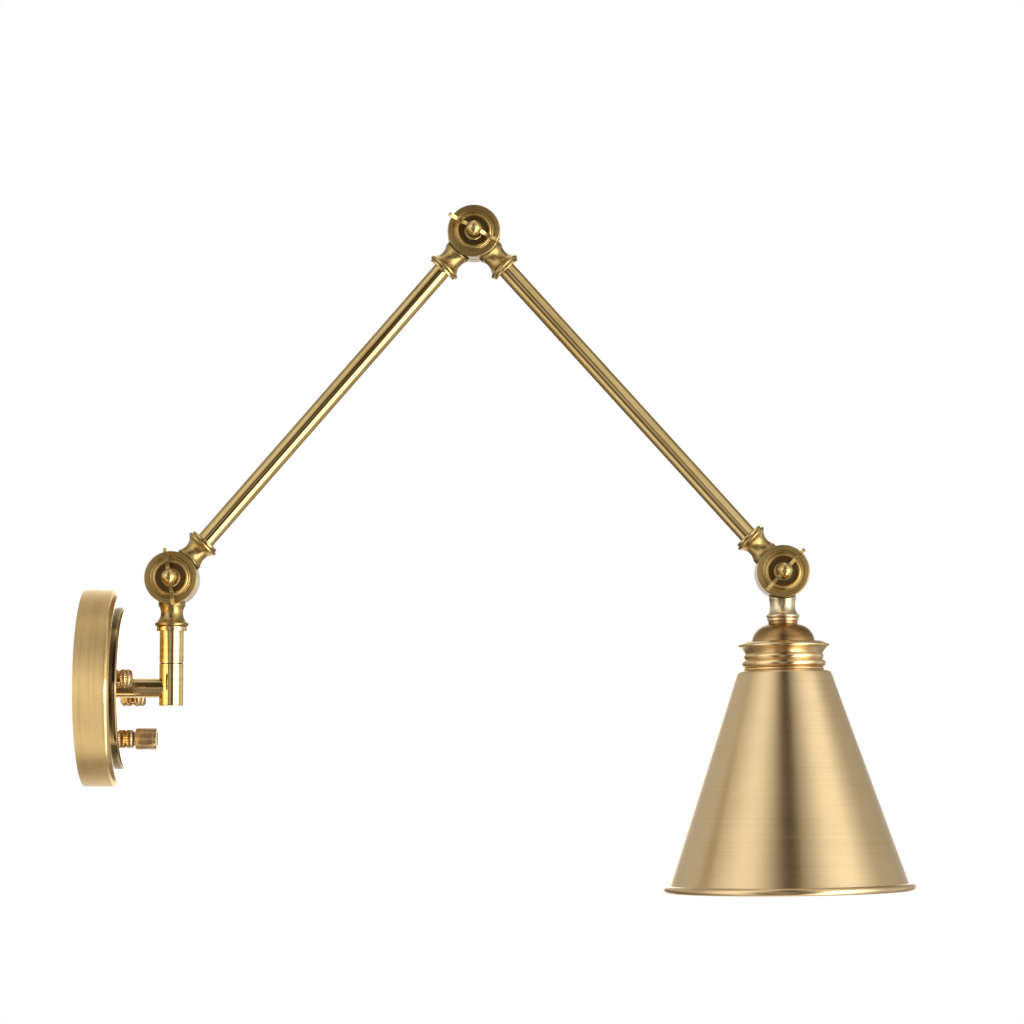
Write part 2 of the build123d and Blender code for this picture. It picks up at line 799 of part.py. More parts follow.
def dome_outline(inset):
    """Half section of the domed cap, drawn inset from its outer skin."""
    with BuildLine() as outline:
        Polyline(
            (fitter_top, 0),
            (dome_top + inset, 0),
            (dome_top + inset, dome_lip_r - inset),
            (dome_top + dome_lip + inset, dome_lip_r - inset),
        )
        ThreePointArc(
            (dome_top + dome_lip + inset, dome_lip_r - inset),
            (dome_top + dome_shoulder_at + inset, dome_shoulder_r - inset),
            (fitter_top, dome_r - inset),
        )
        Line((fitter_top, dome_r - inset), (fitter_top, 0))
    return outline.edges()


with BuildPart() as dome_cap:
    with BuildSketch(head_section):
        make_face(dome_outline(0))
    revolve(axis=head_axis)
    with BuildSketch(head_section):
        make_face(dome_outline(dome_wall))
    revolve(axis=head_axis, mode=Mode.SUBTRACT)
    with BuildSketch(square_to(end_pivot, head_angle, dome_top)):
        Circle(head_nipple_r + fit_gap)
    extrude(amount=dome_height, mode=Mode.SUBTRACT)
finish(dome_cap, "dome_cap")


def fitter_outline():
    """Half section of the fitter: flat top, crown, waist, two beads and foot ring, with its inside."""
    crown_at = fitter_top + fitter_crown_at
    waist_at = fitter_top + fitter_waist_at
    groove_at = fitter_top + fitter_groove_at
    foot_at = fitter_top + fitter_foot_at
    inner_r = fitter_waist_r - fitter_wall
    nose_r = fitter_crown_r - fitter_crown_edge
    nose_start = (crown_at - fitter_crown_round, nose_r)
    nose_end = (crown_at + fitter_crown_round, nose_r)
    waist = (waist_at, fitter_waist_r)
    groove = (groove_at, fitter_waist_r)
    foot_top = (foot_at, fitter_waist_r)
    foot_end = (shade_top, fitter_waist_r)
    flank_at = (crown_at + fitter_crown_round + waist_at) / 2
    flank_r = (nose_r + fitter_waist_r) / 2 - fitter_flank_hollow
    with BuildLine() as outline:
        Polyline((fitter_top, 0), (fitter_top, fitter_top_r), nose_start)
        ThreePointArc(nose_start, (crown_at, fitter_crown_r), nose_end)
        ThreePointArc(nose_end, (flank_at, flank_r), waist)
        ThreePointArc(waist, ((waist_at + groove_at) / 2, fitter_waist_r + fitter_bead_rise), groove)
        ThreePointArc(groove, ((groove_at + foot_at) / 2, fitter_waist_r + fitter_low_bead_rise), foot_top)
        ThreePointArc(foot_top, ((foot_at + shade_top) / 2, fitter_waist_r + fitter_foot_rise), foot_end)
        Polyline(
            foot_end,
            (shade_top, inner_r),
            (waist_at - fitter_wall, inner_r),
            (crown_at, fitter_crown_r - fitter_wall * 2),
            (fitter_top + fitter_wall, fitter_top_r - fitter_wall),
            (fitter_top + fitter_wall, 0),
            (fitter_top, 0),
        )
    return outline.edges()


with BuildPart() as shade_fitter:
    with BuildSketch(head_section):
        make_face(fitter_outline())
    revolve(axis=head_axis)
    with BuildSketch(square_to(end_pivot, head_angle, fitter_top)):
        Circle(head_nipple_r + fit_gap)
    extrude(amount=fitter_wall, mode=Mode.SUBTRACT)
finish(shade_fitter, "shade_fitter")

shade_spread = tan(radians(shade_slope))
sheet_step = shade_sheet / cos(radians(shade_slope))
rim_at = shade_top + shade_height
rim_r = shade_top_r + shade_height * shade_spread

with BuildPart() as shade:
    with BuildSketch(head_section) as skin:
        with BuildLine():
            Polyline(
                (shade_top, 0),
                (shade_top, shade_top_r),
                (rim_at, rim_r),
                (rim_at, 0),
                (shade_top, 0),
            )
        make_face()
        corner = skin.vertices().sort_by_distance((shade_top, shade_top_r))[0]
        fillet(corner, shade_shoulder_r)
        with Locations((rim_at, rim_r + rim_bead_out)):
            Circle(rim_bead_r)
    revolve(axis=head_axis)
    inner_top = shade_top + shade_sheet
    inner_top_r = shade_top_r - sheet_step + shade_sheet * shade_spread
    inner_rim_at = rim_at + rim_bead_r
    inner_rim_r = rim_r - sheet_step + rim_bead_r * shade_spread
    with BuildSketch(head_section) as inside:
        with BuildLine():
            Polyline(
                (inner_top, 0),
                (inner_top, inner_top_r),
                (inner_rim_at, inner_rim_r),
                (inner_rim_at, 0),
                (inner_top, 0),
            )
        make_face()
        inner_corner = inside.vertices().sort_by_distance((inner_top, inner_top_r))[0]
        fillet(inner_corner, shade_shoulder_r - shade_sheet)
    revolve(axis=head_axis, mode=Mode.SUBTRACT)
    with BuildSketch(square_to(end_pivot, head_angle, shade_top)):
        Circle(holder_thread_r + shade_hole_gap)
    extrude(amount=shade_sheet, mode=Mode.SUBTRACT)
finish(shade, "shade")

# ---------------------------------------------------------------- lamp holder inside the fitter

holder_top = fitter_top + fitter_wall
holder_inside = holder_top + holder_floor
holder_end = holder_top + holder_length
nipple_end = holder_inside + holder_nut_height + nipple_end_gap
carrier_top = holder_top + carrier_at
carrier_face = carrier_top + carrier_thickness
ring_top = shade_top + shade_sheet


def on_head(distance):
    """Plane square to the head's axis, this far from the end pivot."""
    return square_to(end_pivot, head_angle, distance)


with BuildPart() as head_nipple:
    with BuildSketch(on_head(head_nipple_from)):
        Circle(head_nipple_r)
        Circle(head_nipple_bore_r, mode=Mode.SUBTRACT)
    extrude(amount=nipple_end - head_nipple_from)
finish(head_nipple, "head_nipple")

with BuildPart() as holder_nut:
    with BuildSketch(on_head(holder_inside)):
        RegularPolygon(holder_nut_flats / 2, 6, major_radius=False)
        Circle(head_nipple_r + fit_gap, mode=Mode.SUBTRACT)
    extrude(amount=holder_nut_height)
finish(holder_nut, "holder_nut")

with BuildPart() as holder_body:
    with BuildSketch(on_head(holder_top)):
        Circle(holder_r)
    extrude(amount=shade_top - holder_top)
    with BuildSketch(on_head(shade_top)):
        Circle(holder_thread_r)
    extrude(amount=holder_end - shade_top)
    with BuildSketch(on_head(holder_inside)):
        Circle(holder_upper_bore_r)
    extrude(amount=holder_end - holder_inside, mode=Mode.SUBTRACT)
    with BuildSketch(on_head(carrier_top)):
        Circle(holder_bore_r)
    extrude(amount=holder_end - carrier_top, mode=Mode.SUBTRACT)
    with BuildSketch(on_head(holder_top)):
        Circle(head_nipple_r + fit_gap)
    extrude(amount=holder_floor, mode=Mode.SUBTRACT)
finish(holder_body, "holder_body")

with BuildPart() as contact_carrier:
    with BuildSketch(on_head(carrier_top)):
        Circle(holder_bore_r - fit_gap)
        with Locations((0, carrier_hole_out), (0, -carrier_hole_out)):
            Circle(carrier_hole_r, mode=Mode.SUBTRACT)
    extrude(amount=carrier_thickness)
finish(contact_carrier, "contact_carrier")

with BuildPart() as screw_shell:
    with BuildSketch(on_head(carrier_face)):
        Circle(shell_foot_r)
    extrude(amount=shell_foot)
    with BuildSketch(on_head(carrier_face + shell_foot - shell_wall)):
        Circle(shell_r + shell_wall)
    extrude(amount=shell_length - shell_foot + shell_wall)
    with BuildSketch(on_head(carrier_face + shell_foot)):
        Circle(shell_r)
    extrude(amount=shell_length - shell_foot, mode=Mode.SUBTRACT)
    with BuildSketch(on_head(carrier_face + shell_wall)):
        Circle(shell_foot_r - shell_wall)
    extrude(amount=shell_foot - shell_wall, mode=Mode.SUBTRACT)
    with BuildSketch(on_head(carrier_face)):
        Circle(shell_hole_r)
    extrude(amount=shell_wall, mode=Mode.SUBTRACT)
finish(screw_shell, "screw_shell")

with BuildPart() as centre_contact:
    low = carrier_face
    high = carrier_face + contact_lift
    with BuildSketch(head_section):
        with BuildLine():
            Polyline(
                (low, -contact_foot),
                (low, -contact_bend),
                (high, 0),
                (high, contact_top),
                (high + contact_thickness, contact_top),
                (high + contact_thickness, -contact_thickness / 2),
                (low + contact_thickness, -contact_bend - contact_thickness / 2),
                (low + contact_thickness, -contact_foot),
                (low, -contact_foot),
            )
        make_face()
    extrude(amount=contact_width / 2, both=True)
finish(centre_contact, "centre_contact")

with BuildPart() as shade_ring:
    with BuildSketch(on_head(ring_top)):
        Circle(shade_ring_r)
        Circle(holder_thread_r + fit_gap, mode=Mode.SUBTRACT)
    extrude(amount=shade_ring_flange)
    with BuildSketch(on_head(ring_top + shade_ring_flange)):
        Circle(shade_ring_barrel_r)
        Circle(holder_thread_r + fit_gap, mode=Mode.SUBTRACT)
    extrude(amount=shade_ring_height - shade_ring_flange)
finish(shade_ring, "shade_ring")
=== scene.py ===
"""Looks of an articulating wall lamp in aged brass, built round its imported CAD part."""

from math import atan2, cos, pi, radians, sin

import bmesh
import bpy
from mathutils import Matrix, Vector


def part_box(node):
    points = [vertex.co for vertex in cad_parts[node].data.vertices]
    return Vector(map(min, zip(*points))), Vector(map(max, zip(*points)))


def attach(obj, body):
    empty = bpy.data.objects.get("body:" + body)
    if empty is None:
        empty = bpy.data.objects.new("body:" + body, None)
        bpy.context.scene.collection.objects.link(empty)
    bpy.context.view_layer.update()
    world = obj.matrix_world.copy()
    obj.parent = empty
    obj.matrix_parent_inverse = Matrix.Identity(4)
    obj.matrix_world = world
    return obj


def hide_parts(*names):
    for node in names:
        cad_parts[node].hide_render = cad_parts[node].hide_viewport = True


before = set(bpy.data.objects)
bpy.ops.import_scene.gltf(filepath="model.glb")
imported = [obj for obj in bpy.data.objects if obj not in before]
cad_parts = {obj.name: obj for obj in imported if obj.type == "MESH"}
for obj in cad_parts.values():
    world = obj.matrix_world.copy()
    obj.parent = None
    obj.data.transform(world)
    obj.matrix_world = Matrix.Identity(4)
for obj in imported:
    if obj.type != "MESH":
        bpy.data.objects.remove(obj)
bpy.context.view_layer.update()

# ---------------------------------------------------------------- wall bracket and its screws
# A strip of zinc-plated steel, punched and slotted, that is screwed to the outlet box.
# Two steel studs come through it for the canopy, and a brass screw takes the ground wire.


def add_node(tree, kind, inputs=(), **settings):
    """Adds a shader node. A socket goes by its name, or by its place where names repeat."""
    node = tree.nodes.new("ShaderNode" + kind)
    for setting, value in settings.items():
        setattr(node, setting, value)
    for socket, value in dict(inputs).items():
        if isinstance(value, bpy.types.NodeSocket):
            tree.links.new(value, node.inputs[socket])
        else:
            node.inputs[socket].default_value = value
    return node


def set_ramp(ramp, stops):
    """Gives a colour ramp its stops, each a place and a grey level or a colour."""
    elements = ramp.color_ramp.elements
    while len(elements) > 1:
        elements.remove(elements[-1])
    for count, (place, level) in enumerate(stops):
        colour = (level, level, level) if isinstance(level, float) else level
        element = elements.new(place) if count else elements[0]
        element.position = place
        element.color = (*colour, 1.0)


def new_surface(name, metallic, roughness):
    """A new material, its node tree and its shader, with one metallic value and one roughness."""
    material = bpy.data.materials.new(name)
    material.use_nodes = True
    tree = material.node_tree
    shader = tree.nodes["Principled BSDF"]
    shader.inputs["Metallic"].default_value = metallic
    shader.inputs["Roughness"].default_value = roughness
    return material, tree, shader


def dress(material, *names):
    """Gives CAD nodes a finish."""
    for name in names:
        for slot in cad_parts[name].material_slots:
            slot.material = material


def zinc_plate(name, light, dark, roughness):
    """Plated steel: small crystals that differ a little in tone and gloss, on a fine grain."""
    material, tree, shader = new_surface(name, metallic=1.0, roughness=roughness)
    place = add_node(tree, "TexCoord").outputs["Object"]
    crystal = add_node(tree, "TexVoronoi", {"Vector": place, "Scale": 700.0})
    cloud = add_node(tree, "TexNoise", {"Vector": place, "Scale": 160.0, "Detail": 4.0})
    blend = add_node(
        tree, "Math", {0: crystal.outputs["Color"], 1: cloud.outputs[0]}, operation="MULTIPLY"
    )
    tone = add_node(tree, "ValToRGB", {"Fac": blend.outputs[0]})
    set_ramp(tone, [(0.1, dark), (0.45, light)])
    tree.links.new(tone.outputs["Color"], shader.inputs["Base Color"])
    dent = add_node(
        tree, "Bump", {"Strength": 0.25, "Distance": 0.00005, "Height": cloud.outputs[0]}
    )
    tree.links.new(dent.outputs["Normal"], shader.inputs["Normal"])
    return material


zinc = zinc_plate(
    "zinc_plated_steel", light=(0.62, 0.62, 0.60), dark=(0.36, 0.37, 0.38), roughness=0.38
)
dress(zinc, "wall_bracket", "bracket_studs", "canopy_nipple", "nipple_nut", "pivot_nipple")
dress(zinc, "swivel_pin", "head_nipple", "holder_nut")
dark_steel = zinc_plate(
    "dark_spring_steel", light=(0.20, 0.20, 0.21), dark=(0.09, 0.09, 0.10), roughness=0.42
)
dress(dark_steel, "nipple_washer", "retaining_clip")

# ---------------------------------------------------------------- canopy
# A round cover, pressed from brass sheet and lacquered, with painted shade in the step round its
# raised middle.
# Its side is brushed round and round; the raised middle of its face is left brighter.

out_of_wall = Vector((1, 0, 0))
canopy_radius = 0.06
canopy_depth = 0.025
canopy_light = (0.78, 0.565, 0.255)
canopy_dark = (0.60, 0.40, 0.155)


def turned_grain(tree, centre, axis, pitch, spread=0.5):
    """Grain round an axis: its coordinates, its direction, and how far from and along the axis.

    The pitch is the spacing of its lines, and the spread how fast they change on the way round.
    """
    place = add_node(tree, "TexCoord").outputs["Object"]
    offset = add_node(tree, "VectorMath", {0: place, 1: centre}, operation="SUBTRACT")
    along = add_node(tree, "VectorMath", {0: offset.outputs[0], 1: axis}, operation="DOT_PRODUCT")
    around = add_node(
        tree, "VectorMath", {0: axis, 1: offset.outputs[0]}, operation="CROSS_PRODUCT"
    )
    radius = add_node(tree, "VectorMath", {0: around.outputs[0]}, operation="LENGTH")
    lines = add_node(
        tree, "CombineXYZ", {"X": along.outputs["Value"], "Y": radius.outputs["Value"]}
    )
    close = add_node(
        tree, "VectorMath", {0: lines.outputs[0], "Scale": 1.0 / pitch}, operation="SCALE"
    )
    unit = add_node(tree, "VectorMath", {0: around.outputs[0]}, operation="NORMALIZE")
    grain = add_node(
        tree,
        "VectorMath",
        {0: unit.outputs[0], 1: (spread, spread, spread), 2: close.outputs[0]},
        operation="MULTIPLY_ADD",
    )
    tangent = add_node(
        tree,
        "VectorTransform",
        {"Vector": around.outputs[0]},
        vector_type="VECTOR",
        convert_from="OBJECT",
        convert_to="WORLD",
    )
    return grain.outputs[0], tangent.outputs[0], radius.outputs["Value"], along.outputs["Value"]


def finish_brass(tree, shader, grain, tangent, light, dark, groove, brushed, roughness):
    """Aged brass: grain lines in tone, gloss and relief, under a cloudy wash.

    Groove is how strong their relief is, and brushed how far they stretch a highlight.
    """
    cloud_share = 0.35
    place = add_node(tree, "TexCoord").outputs["Object"]
    line = add_node(
        tree, "TexNoise", {"Vector": grain, "Scale": 1.0, "Detail": 3.0, "Roughness": 0.5}
    )
    cloud = add_node(tree, "TexNoise", {"Vector": place, "Scale": 55.0, "Detail": 5.0})
    wash = add_node(
        tree, "Mix", {0: cloud_share, 2: line.outputs[0], 3: cloud.outputs[0]}, data_type="FLOAT"
    )
    tone = add_node(tree, "ValToRGB", {"Fac": wash.outputs[0]})
    set_ramp(tone, [(0.3, dark), (0.56, light)])
    tree.links.new(tone.outputs["Color"], shader.inputs["Base Color"])
    polish = add_node(
        tree,
        "MapRange",
        {
            "Value": line.outputs[0],
            "From Min": 0.3,
            "From Max": 0.7,
            "To Min": 0.92,
            "To Max": 1.1,
        },
    )
    gloss = add_node(
        tree, "Math", {0: polish.outputs[0], 1: roughness}, operation="MULTIPLY"
    )
    tree.links.new(gloss.outputs[0], shader.inputs["Roughness"])
    relief = add_node(
        tree, "Bump", {"Strength": groove, "Distance": 0.00004, "Height": line.outputs[0]}
    )
    tree.links.new(relief.outputs["Normal"], shader.inputs["Normal"])
    shader.inputs["Anisotropic"].default_value = brushed
    shader.inputs["Anisotropic Rotation"].default_value = 0.25
    tree.links.new(tangent, shader.inputs["Tangent"])
    return tone.outputs["Color"]


def wash_and_painted_shade(tree, shader, tone, distance, reach, stops):
    """Darkens a finish by its stops, each a distance of no more than its reach and a level, to
    paint shade, and a dark wash, into steps and hollows.
    """
    share = add_node(tree, "MapRange", {"Value": distance, "From Min": 0.0, "From Max": reach})
    wash = add_node(tree, "ValToRGB", {"Fac": share.outputs[0]})
    set_ramp(wash, [(place / reach, level) for place, level in stops])
    washed_and_shaded = add_node(
        tree,
        "Mix",
        {0: 1.0, 6: tone, 7: wash.outputs["Color"]},
        data_type="RGBA",
        blend_type="MULTIPLY",
    )
    tree.links.new(washed_and_shaded.outputs[2], shader.inputs["Base Color"])


def turned_brass(name, centre, axis, light, dark, groove, brushed, roughness, pitch=0.0025):
    """Brass that was turned or brushed round one axis."""
    material, tree, shader = new_surface(name, metallic=1.0, roughness=roughness)
    grain, tangent = turned_grain(tree, centre, axis, pitch)[:2]
    finish_brass(tree, shader, grain, tangent, light, dark, groove, brushed, roughness)
    return material


side_roughness = 0.5
edge_roughness = 0.14
face_roughness = 0.05
canopy_brass, tree, shader = new_surface(
    "canopy_brushed_brass", metallic=1.0, roughness=side_roughness
)
grain, tangent, radius, along = turned_grain(tree, (0, 0, 0), out_of_wall, pitch=0.003)
depth = add_node(tree, "MapRange", {"Value": along, "From Min": 0.0, "From Max": canopy_depth})
polish = add_node(tree, "ValToRGB", {"Fac": depth.outputs[0]})
polish_stops = [
    (0.70, side_roughness),
    (0.77, edge_roughness),
    (0.86, edge_roughness),
    (0.90, face_roughness),
]
set_ramp(polish, polish_stops)
tone = finish_brass(
    tree, shader, grain, tangent, canopy_light, canopy_dark,
    groove=0.2, brushed=0.8, roughness=polish.outputs["Color"],
)
# Painted shade: the step between the drum's rim and the raised middle is darkened where it would
# lie in shade.
painted_step_shade = [(0.0488, 1.0), (0.0497, 0.3), (0.0545, 0.38), (0.0568, 1.0)]
wash_and_painted_shade(tree, shader, tone, radius, canopy_radius, painted_step_shade)
dress(canopy_brass, "canopy")

# ---------------------------------------------------------------- canopy cap nuts
# Two closed nuts of polished brass, turned with a straight knurl for the fingers.
# They screw on to the bracket's studs and hold the canopy to the wall.


def knurled_turning(name, outline, centre_y, centre_z, knurls, depth, first, last):
    """A piece turned along X to an outline of places and radii, and knurled from first to last."""
    steps_per_knurl = 4
    groove_share = 0.5
    groove_shift = 0.1
    core_radius = depth * 4
    sharpest_bend = radians(28)
    mesh = bmesh.new()
    points = [mesh.verts.new((place, centre_y, centre_z + radius)) for place, radius in outline]
    for start, end in zip(points, points[1:]):
        mesh.edges.new((start, end))
    bmesh.ops.spin(
        mesh,
        geom=mesh.verts[:] + mesh.edges[:],
        cent=(0, centre_y, centre_z),
        axis=(1, 0, 0),
        angle=2 * pi,
        steps=knurls * steps_per_knurl,
        use_merge=True,
    )
    bmesh.ops.remove_doubles(mesh, verts=mesh.verts, dist=1e-6)
    for vert in mesh.verts:
        out = Vector((0, vert.co.y - centre_y, vert.co.z - centre_z))
        knurl_share = (atan2(out.z, out.y) * knurls / (2 * pi) + groove_shift) % 1
        in_groove = knurl_share > groove_share and out.length > core_radius
        if in_groove and first < vert.co.x < last:
            vert.co -= out.normalized() * depth
    bmesh.ops.recalc_face_normals(mesh, faces=mesh.faces)
    data = bpy.data.meshes.new(name)
    mesh.to_mesh(data)
    mesh.free()
    data.shade_smooth()
    data.set_sharp_from_angle(angle=sharpest_bend)
    piece = bpy.data.objects.new(name, data)
    bpy.context.scene.collection.objects.link(piece)
    return piece


nut_light = (0.52, 0.37, 0.19)
nut_dark = (0.34, 0.22, 0.10)
nut_brass = turned_brass(
    "nut_polished_brass", (0, 0, 0), out_of_wall, nut_light, nut_dark,
    groove=0.05, brushed=0.1, roughness=0.18,
)
canopy_front = 0.0246
nut_radius = 0.0055
nuts_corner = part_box("canopy_nuts")[1]
nut_side = nuts_corner.y - nut_radius
nut_height = nuts_corner.z - nut_radius
nut_outline = [
    (0.0, 0.0),
    (0.0, 0.0046),
    (0.0008, 0.0046),
    (0.001, 0.0049),
    (0.0016, 0.00535),
    (0.0026, 0.0055),
    (0.0034, 0.0054),
    (0.0039, 0.005),
    (0.0043, 0.0049),
    (0.0047, 0.0051),
    (0.0053, 0.0054),
    (0.0061, 0.0053),
    (0.0069, 0.0049),
    (0.0076, 0.0042),
    (0.008, 0.0032),
    (0.0082, 0.0018),
    (0.0082, 0.0),
]
for name, side in (("front", -1), ("rear", 1)):
    nut = knurled_turning(
        f"{name}_cap_nut",
        [(canopy_front + place, radius) for place, radius in nut_outline],
        centre_y=side * nut_side,
        centre_z=-side * nut_height,
        knurls=26,
        depth=0.00016,
        first=canopy_front + 0.0012,
        last=canopy_front + 0.0066,
    )
    nut.data.materials.append(nut_brass)
    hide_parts("canopy_nuts")
    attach(nut, "base")

# ---------------------------------------------------------------- stem and pivot socket
# Polished brass with a warm lacquer: a level tube out of the canopy, and the upright
# socket brazed across its end, which the swivel pin turns in. A slotted plug closes it.

swivel_foot = (0.052, 0, 0)
upwards = Vector((0, 0, 1))
amber_light = (0.68, 0.50, 0.24)
amber_dark = (0.50, 0.34, 0.14)


def drawn_brass(name, centre, axis, light, dark, groove, roughness):
    """Brass tube that was drawn, so its fine lines run along it."""
    material, tree, shader = new_surface(name, metallic=1.0, roughness=roughness)
    grain, tangent = turned_grain(tree, centre, axis, pitch=0.04, spread=7.0)[:2]
    finish_brass(tree, shader, grain, tangent, light, dark, groove, 0.0, roughness)
    return material


stem_brass = drawn_brass(
    "stem_drawn_brass", (0, 0, 0), out_of_wall, amber_light, amber_dark,
    groove=0.03, roughness=0.17,
)
dress(stem_brass, "wall_stem")
socket_brass = turned_brass(
    "socket_polished_brass", swivel_foot, upwards, amber_light, amber_dark,
    groove=0.03, brushed=0.1, roughness=0.08,
)
dress(socket_brass, "pivot_socket", "pivot_plug")

# ---------------------------------------------------------------- switch and knob
# A rotary switch in black phenolic behind the canopy, held by a round brass nut.
# Its brass shaft carries the knurled knob.

switch_centre = (0, 0, -0.031)


def moulded(name, colour, speckle, roughness):
    """Pressed fibre, phenolic or unglazed porcelain: a dull ground with fine specks."""
    cloud_share = 0.4
    material, tree, shader = new_surface(name, metallic=0.0, roughness=roughness)
    place = add_node(tree, "TexCoord").outputs["Object"]
    speck = add_node(tree, "TexNoise", {"Vector": place, "Scale": 1500.0, "Detail": 3.0})
    cloud = add_node(tree, "TexNoise", {"Vector": place, "Scale": 120.0, "Detail": 3.0})
    both = add_node(
        tree, "Mix", {0: cloud_share, 2: speck.outputs[0], 3: cloud.outputs[0]}, data_type="FLOAT"
    )
    tone = add_node(tree, "ValToRGB", {"Fac": both.outputs[0]})
    set_ramp(tone, [(0.35, colour), (0.65, speckle)])
    tree.links.new(tone.outputs["Color"], shader.inputs["Base Color"])
    relief = add_node(
        tree, "Bump", {"Strength": 0.2, "Distance": 0.00005, "Height": both.outputs[0]}
    )
    tree.links.new(relief.outputs["Normal"], shader.inputs["Normal"])
    return material


phenolic = moulded(
    "black_phenolic", colour=(0.018, 0.016, 0.014), speckle=(0.05, 0.045, 0.04), roughness=0.42
)
dress(phenolic, "switch_body")
contact_light = (0.84, 0.68, 0.37)
contact_dark = (0.68, 0.51, 0.25)
shaft_brass = turned_brass(
    "shaft_bright_brass", switch_centre, out_of_wall, contact_light, contact_dark,
    groove=0.3, brushed=0.3, roughness=0.2,
)
dress(shaft_brass, "switch_shaft", "ground_screw")
switch_brass = turned_brass(
    "switch_nut_brass", switch_centre, out_of_wall, nut_light, nut_dark,
    groove=0.05, brushed=0.1, roughness=0.16,
)
switch_nut_outline = [
    (0.0, 0.0031),
    (0.0, 0.0049),
    (0.0006, 0.0054),
    (0.0014, 0.0057),
    (0.0021, 0.00575),
    (0.0024, 0.0053),
    (0.0027, 0.0053),
    (0.003, 0.00575),
    (0.0037, 0.00565),
    (0.0044, 0.0052),
    (0.0048, 0.0046),
    (0.005, 0.0038),
    (0.005, 0.0031),
    (0.0, 0.0031),
]
switch_nut = knurled_turning(
    "knurled_switch_nut",
    [(canopy_front + place, radius) for place, radius in switch_nut_outline],
    centre_y=switch_centre[1],
    centre_z=switch_centre[2],
    knurls=24,
    depth=0.0002,
    first=canopy_front + 0.0004,
    last=canopy_front + 0.0046,
)
switch_nut.data.materials.append(switch_brass)
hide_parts("switch_nut")
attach(switch_nut, "base")

knob_light = (0.76, 0.55, 0.29)
knob_dark = (0.54, 0.36, 0.16)
knob_start = 0.0306
knob_side_roughness = 0.3
knob_end_roughness = 0.06
knob_brass, tree, shader = new_surface(
    "knob_satin_brass", metallic=1.0, roughness=knob_side_roughness
)
grain, tangent, _, along = turned_grain(tree, switch_centre, out_of_wall, pitch=0.002)
depth = add_node(tree, "MapRange", {"Value": along, "From Min": 0.04, "From Max": 0.044})
polish = add_node(tree, "ValToRGB", {"Fac": depth.outputs[0]})
set_ramp(polish, [(0.5, knob_side_roughness), (0.8, knob_end_roughness)])
finish_brass(
    tree, shader, grain, tangent, knob_light, knob_dark,
    groove=0.2, brushed=0.2, roughness=polish.outputs["Color"],
)
knob_outline = [
    (0.0, 0.0),
    (0.0, 0.0056),
    (0.0003, 0.0062),
    (0.0007, 0.0064),
    (0.0124, 0.0064),
    (0.0128, 0.0062),
    (0.013, 0.0059),
    (0.013, 0.0047),
    (0.0128, 0.0044),
    (0.0121, 0.0036),
    (0.0118, 0.0022),
    (0.0118, 0.0),
]
knob = knurled_turning(
    "knurled_switch_knob",
    [(knob_start + place, radius) for place, radius in knob_outline],
    centre_y=switch_centre[1],
    centre_z=switch_centre[2],
    knurls=44,
    depth=0.00025,
    first=knob_start + 0.0005,
    last=knob_start + 0.0126,
)
knob.data.materials.append(knob_brass)
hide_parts("switch_knob")
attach(knob, "knob")

# ---------------------------------------------------------------- swivel post
# The turned brass post that stands on the socket and swivels with the arms, up to the
# collar under the lowest knuckle. Pressed fibre washers lie under it and in each knuckle.

post_brass = turned_brass(
    "post_polished_brass", swivel_foot, upwards, amber_light, amber_dark,
    groove=0.03, brushed=0.1, roughness=0.09,
)
dress(post_brass, "swivel_post", "stem_collar")
fibre = moulded(
    "pressed_fibre", colour=(0.02, 0.017, 0.014), speckle=(0.06, 0.05, 0.042), roughness=0.75
)
dress(fibre, "swivel_washer", "lower_friction_washer", "middle_friction_washer")
dress(fibre, "end_friction_washer")

# ---------------------------------------------------------------- arms and knuckles
# Each knuckle is two turned discs with ring faces on a pin, pinched by a wing screw.
# Each disc runs into a flared neck, which takes an arm's drawn tube behind a thin collar.


def sloping(angle):
    """The way that rises at an angle in degrees, in the plane of the arms."""
    return Vector((cos(radians(angle)), 0, sin(radians(angle))))


lower_pivot = Vector((0.052, 0, 0.067))
arm_length = 0.2825
lower_arm_way = sloping(49.25)
upper_arm_way = sloping(-47.95)
head_way = sloping(-89.15)
pin_way = Vector((0, 1, 0))
middle_pivot = lower_pivot + lower_arm_way * arm_length
end_pivot = middle_pivot + upper_arm_way * arm_length
disc_radius = 0.0163
neck_reach = 0.031
knuckle_pitch = 0.0025
knuckle_roughness = 0.31
olive_light = (0.70, 0.52, 0.23)
olive_dark = (0.48, 0.33, 0.11)
knuckle_light = (0.66, 0.47, 0.18)
knuckle_dark = (0.52, 0.35, 0.12)
# Darker in the well round the cup washer, in the ring groove, at the disc's edge and along the
# neck: partly a dark wash left in these hollows, partly painted shade.
disc_wash_and_shade = [
    (0.0, 0.55),
    (0.0056, 0.5),
    (0.0064, 0.25),
    (0.0086, 0.3),
    (0.0096, 1.0),
    (0.0106, 1.0),
    (0.0115, 0.6),
    (0.0126, 0.85),
    (0.0150, 0.85),
    (0.0162, 0.5),
    (0.0178, 0.6),
    (0.0200, 0.75),
    (0.0285, 0.8),
    (0.0300, 0.55),
]
pale_light = (0.94, 0.78, 0.51)
pale_dark = (0.82, 0.64, 0.38)


